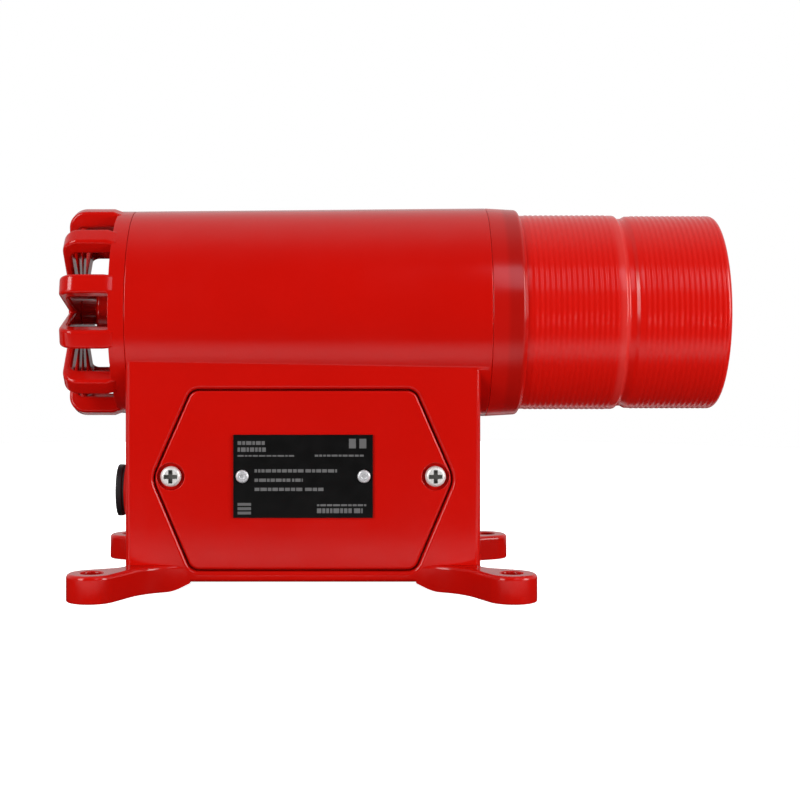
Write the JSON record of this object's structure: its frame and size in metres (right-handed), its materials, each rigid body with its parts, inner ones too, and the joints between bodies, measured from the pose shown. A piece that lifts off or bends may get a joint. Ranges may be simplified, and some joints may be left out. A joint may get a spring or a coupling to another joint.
{
  "type": "horn strobe",
  "caption": "Horn strobe: caged horn at one end of a cast tube, ringed red beacon lens at the other, on a terminal box with a six-sided cover and mounting feet.",
  "frame": {"origin": "centre of the rectangle of mounting holes, on the mounting plane under the feet", "axes": "+X along the tube from the horn grille to the beacon lens, -Y out of the terminal cover, +Z away from the mounting plane"},
  "size_m": [0.3098, 0.1548, 0.1795],
  "materials": {
    "red_paint": "gloss stove enamel on die-cast aluminium",
    "red_lens": "clear red moulded polycarbonate",
    "label_black": "black anodised plate with pale print",
    "bright_steel": "plated steel fasteners",
    "rivet_alloy": "bare aluminium rivets",
    "black_rubber": "matt black rubber",
    "black_plastic": "fine-grained black nylon",
    "horn_plastic": "satin moulded horn",
    "cast_alloy": "turned aluminium",
    "mild_steel": "machined steel",
    "ferrite": "sintered ferrite",
    "thin_alloy": "pressed foil diaphragm",
    "copper": "enamelled copper winding",
    "white_plastic": "glossy white moulding",
    "clear_glass": "clear flash tube glass",
    "cream_ceramic": "fired ceramic tube holder",
    "board_green": "solder mask over fibreglass",
    "brass": "turned brass",
    "blue_sleeve": "shrink sleeve",
    "amber_tape": "polyester winding tape",
    "choke_wire": "lacquered copper winding",
    "chip_black": "moulded epoxy",
    "terminal_green": "terminal block moulding",
    "switch_red": "switch moulding",
    "trimmer_blue": "trimmer moulding",
    "wire_black": "wire insulation"
  },
  "bodies": {
    "base": {"housing": "red_paint", "horn_grille": "red_paint", "grille_screws": "bright_steel", "horn_flare": "horn_plastic", "horn_deflector": "red_paint", "deflector_screw": "bright_steel", "driver_gasket": "black_rubber", "driver_frame": "cast_alloy", "driver_top_plate": "mild_steel", "driver_magnet": "ferrite", "driver_yoke": "mild_steel", "driver_screws": "bright_steel", "beacon_base": "black_plastic", "lens_seal": "black_rubber", "reflector": "white_plastic", "tube_base": "cream_ceramic", "flash_tube": "clear_glass", "beacon_board": "board_green", "beacon_pillars": "brass", "beacon_screws": "bright_steel", "storage_capacitor": "blue_sleeve", "trigger_transformer": "amber_tape", "control_board": "board_green", "board_pillars": "brass", "board_screws": "bright_steel", "board_capacitors": "blue_sleeve", "board_choke": "choke_wire", "board_chips": "chip_black", "terminal_block": "terminal_green", "terminal_screws": "bright_steel", "tone_switch_body": "switch_red", "volume_body": "trimmer_blue", "earth_stud": "brass", "earth_washers": "bright_steel", "earth_nut": "brass", "driver_wires": "wire_black", "beacon_wires": "wire_black"},
    "terminal_cover": {"terminal_cover": "red_paint", "cover_gasket": "black_rubber", "nameplate": "label_black", "nameplate_rivets": "rivet_alloy"},
    "cover_screw_left": {"cover_screw_left": "bright_steel"},
    "cover_screw_right": {"cover_screw_right": "bright_steel"},
    "lens_gasket": {"lens_gasket": "black_rubber"},
    "beacon_lens": {"beacon_lens": "red_lens"},
    "plug_washer": {"plug_washer": "black_rubber"},
    "stopping_plug": {"stopping_plug": "black_plastic"},
    "volume_rotor": {"volume_rotor": "white_plastic"},
    "tone_slider_1": {"tone_slider_1": "white_plastic"},
    "tone_slider_2": {"tone_slider_2": "white_plastic"},
    "tone_slider_3": {"tone_slider_3": "white_plastic"},
    "tone_slider_4": {"tone_slider_4": "white_plastic"},
    "diaphragm": {"diaphragm": "thin_alloy", "voice_coil": "copper"}
  },
  "joints": [
    {"name": "cover_removal", "type": "slide", "parent": "base", "child": "terminal_cover", "axis": [0, -1, 0], "range_m": [0, 0.12]},
    {"name": "cover_screw_left_turn", "type": "hinge", "parent": "terminal_cover", "child": "cover_screw_left", "pos_m": [-0.061, -0.041, 0.053], "axis": [0, -1, 0], "continuous": true},
    {"name": "cover_screw_right_turn", "type": "hinge", "parent": "terminal_cover", "child": "cover_screw_right", "pos_m": [0.061, -0.041, 0.053], "axis": [0, -1, 0], "continuous": true},
    {"name": "lens_removal", "type": "slide", "parent": "base", "child": "lens_gasket", "axis": [1, 0, 0], "range_m": [0, 0.13]},
    {"name": "lens_turn", "type": "hinge", "parent": "lens_gasket", "child": "beacon_lens", "pos_m": [0.1, 0, 0.129], "axis": [1, 0, 0], "continuous": true},
    {"name": "plug_removal", "type": "slide", "parent": "base", "child": "plug_washer", "axis": [-1, 0, 0], "range_m": [0, 0.04]},
    {"name": "plug_turn", "type": "hinge", "parent": "plug_washer", "child": "stopping_plug", "pos_m": [-0.088, 0, 0.0424], "axis": [-1, 0, 0], "continuous": true},
    {"name": "volume_turn", "type": "hinge", "parent": "base", "child": "volume_rotor", "pos_m": [0, 0.016, 0.055], "axis": [0, -1, 0], "range_deg": [-135, 135]},
    {"name": "tone_1_slide", "type": "slide", "parent": "base", "child": "tone_slider_1", "axis": [0, 0, 1], "range_m": [0, 0.002]},
    {"name": "tone_2_slide", "type": "slide", "parent": "base", "child": "tone_slider_2", "axis": [0, 0, 1], "range_m": [0, 0.002]},
    {"name": "tone_3_slide", "type": "slide", "parent": "base", "child": "tone_slider_3", "axis": [0, 0, 1], "range_m": [0, 0.002]},
    {"name": "tone_4_slide", "type": "slide", "parent": "base", "child": "tone_slider_4", "axis": [0, 0, 1], "range_m": [0, 0.002]},
    {"name": "diaphragm_stroke", "type": "slide", "parent": "base", "child": "diaphragm", "axis": [1, 0, 0], "range_m": [-0.0003, 0.0003], "stiffness_N_per_m": 3000}
  ]
}
